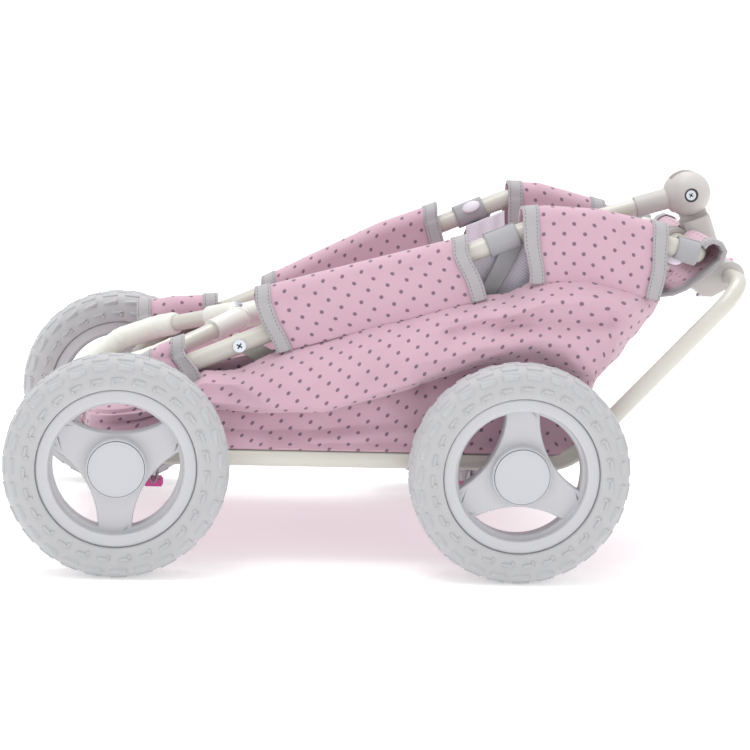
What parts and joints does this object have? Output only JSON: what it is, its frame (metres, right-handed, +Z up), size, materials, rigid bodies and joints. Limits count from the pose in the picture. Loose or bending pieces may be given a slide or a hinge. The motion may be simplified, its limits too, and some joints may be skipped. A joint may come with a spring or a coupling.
{
  "type": "doll stroller",
  "caption": "Folded toy stroller for dolls: steel tube chassis on spoked wheels, dotted fabric seat on a lifting rim, under-basket and a fold-over loop handle.",
  "frame": {"origin": "on the floor, in the middle of the folded stroller's length and width", "axes": "+X to the rear, where the handle is hinged, +Y to the stroller's right, +Z up"},
  "size_m": [0.6152, 0.38, 0.3207],
  "materials": {
    "tyre": "matt off-white foamed plastic",
    "wheel_plastic": "satin cool white moulded plastic",
    "axle_steel": "plain bright steel",
    "screw_chrome": "bright plated screws",
    "hub_plastic": "satin warm grey-beige moulded plastic",
    "pink_plastic": "glossy hot pink plastic",
    "dotted_fabric": "pink woven polyester with small grey-mauve dots",
    "grey_webbing": "woven grey webbing",
    "dark_plastic": "dark grey ring",
    "grip_foam": "cream-grey foam",
    "white_mesh": "white net",
    "snap_plastic": "pale lilac press studs",
    "cream_paint": "glossy cream powder coat"
  },
  "bodies": {
    "chassis": {"chassis_tube_left": "cream_paint", "chassis_tube_right": "cream_paint", "chassis_front_bar": "cream_paint", "chassis_rear_bar": "cream_paint", "front_axle": "axle_steel", "rear_axle": "axle_steel", "wheel_spacers": "hub_plastic", "axle_push_nuts": "axle_steel", "stay_rod": "axle_steel", "hub_upper": "hub_plastic", "hub_lower": "hub_plastic", "hub_screws": "screw_chrome", "handle_post": "hub_plastic", "seat_bracket": "hub_plastic", "basket": "dotted_fabric", "side_panel_left": "dotted_fabric", "side_panel_right": "dotted_fabric", "basket_straps": "grey_webbing", "strap_buckles": "pink_plastic"},
    "front_left_wheel": {"front_left_tyre": "tyre", "front_left_rim": "wheel_plastic", "front_left_cap": "wheel_plastic"},
    "front_right_wheel": {"front_right_tyre": "tyre", "front_right_rim": "wheel_plastic", "front_right_cap": "wheel_plastic"},
    "rear_left_wheel": {"rear_left_tyre": "tyre", "rear_left_rim": "wheel_plastic", "rear_left_cap": "wheel_plastic"},
    "rear_right_wheel": {"rear_right_tyre": "tyre", "rear_right_rim": "wheel_plastic", "rear_right_cap": "wheel_plastic"},
    "handle": {"handle_knuckle": "hub_plastic", "handle_pivot_bolt": "screw_chrome", "knuckle_rings": "dark_plastic", "handle_stem": "cream_paint", "handle_yoke": "hub_plastic", "yoke_screws": "screw_chrome", "handle_loop": "cream_paint", "grip_foam": "grip_foam"},
    "seat": {"rim_tube_left": "cream_paint", "rim_tube_right": "cream_paint", "rim_front_bar": "cream_paint", "rim_rear_bar": "cream_paint", "seat_tub": "dotted_fabric", "front_flap_left": "dotted_fabric", "front_flap_right": "dotted_fabric", "middle_flap_left": "dotted_fabric", "middle_flap_right": "dotted_fabric", "rear_flap_left": "dotted_fabric", "rear_flap_right": "dotted_fabric", "mesh_liners": "white_mesh", "webbing_bands": "grey_webbing", "band_snaps": "snap_plastic", "stay_screws": "screw_chrome"},
    "upper_stay_body_left": {"upper_stay_left": "cream_paint"},
    "lower_stay_body_left": {"lower_stay_left": "cream_paint"},
    "upper_stay_body_right": {"upper_stay_right": "cream_paint"},
    "lower_stay_body_right": {"lower_stay_right": "cream_paint"},
    "button": {"fold_button": "pink_plastic"}
  },
  "joints": [
    {"name": "front_left_spin", "type": "hinge", "parent": "chassis", "child": "front_left_wheel", "pos_m": [-0.21862, -0.17, 0.089], "axis": [0, 1, 0], "continuous": true},
    {"name": "front_right_spin", "type": "hinge", "parent": "chassis", "child": "front_right_wheel", "pos_m": [-0.21862, 0.17, 0.089], "axis": [0, 1, 0], "continuous": true},
    {"name": "rear_left_spin", "type": "hinge", "parent": "chassis", "child": "rear_left_wheel", "pos_m": [0.10238, -0.17, 0.089], "axis": [0, 1, 0], "continuous": true},
    {"name": "rear_right_spin", "type": "hinge", "parent": "chassis", "child": "rear_right_wheel", "pos_m": [0.10238, 0.17, 0.089], "axis": [0, 1, 0], "continuous": true},
    {"name": "handle_fold", "type": "hinge", "parent": "chassis", "child": "handle", "pos_m": [0.26364, 0, 0.30119], "axis": [0, 1, 0], "range_deg": [0, 150]},
    {"name": "seat_lift", "type": "hinge", "parent": "chassis", "child": "seat", "pos_m": [0.25562, 0, 0.25988], "axis": [0, 1, 0], "range_deg": [0, 16]},
    {"name": "upper_stay_left_fold", "type": "hinge", "parent": "seat", "child": "upper_stay_body_left", "pos_m": [-0.12198, -0.0885, 0.17636], "axis": [0, 1, 0], "range_deg": [0, 38.87]},
    {"name": "upper_stay_right_fold", "type": "hinge", "parent": "seat", "child": "upper_stay_body_right", "pos_m": [-0.12198, 0.0885, 0.17636], "axis": [0, 1, 0], "range_deg": [0, 38.87]},
    {"name": "lower_stay_left_fold", "type": "hinge", "parent": "chassis", "child": "lower_stay_body_left", "pos_m": [-0.12198, -0.0845, 0.089], "axis": [0, -1, 0], "range_deg": [0, 59.81]},
    {"name": "lower_stay_right_fold", "type": "hinge", "parent": "chassis", "child": "lower_stay_body_right", "pos_m": [-0.12198, 0.0845, 0.089], "axis": [0, -1, 0], "range_deg": [0, 59.81]},
    {"name": "fold_button_push", "type": "slide", "parent": "chassis", "child": "button", "axis": [-1, 0, 0], "range_m": [0, 0.004], "stiffness_N_per_m": 300}
  ],
  "couplings": [
    {"joint": "seat_lift", "follows": "handle_fold", "ratio": 0.10666},
    {"joint": "upper_stay_left_fold", "follows": "handle_fold", "ratio": 0.25913},
    {"joint": "lower_stay_left_fold", "follows": "handle_fold", "ratio": 0.39873},
    {"joint": "upper_stay_right_fold", "follows": "handle_fold", "ratio": 0.25913},
    {"joint": "lower_stay_right_fold", "follows": "handle_fold", "ratio": 0.39873}
  ]
}
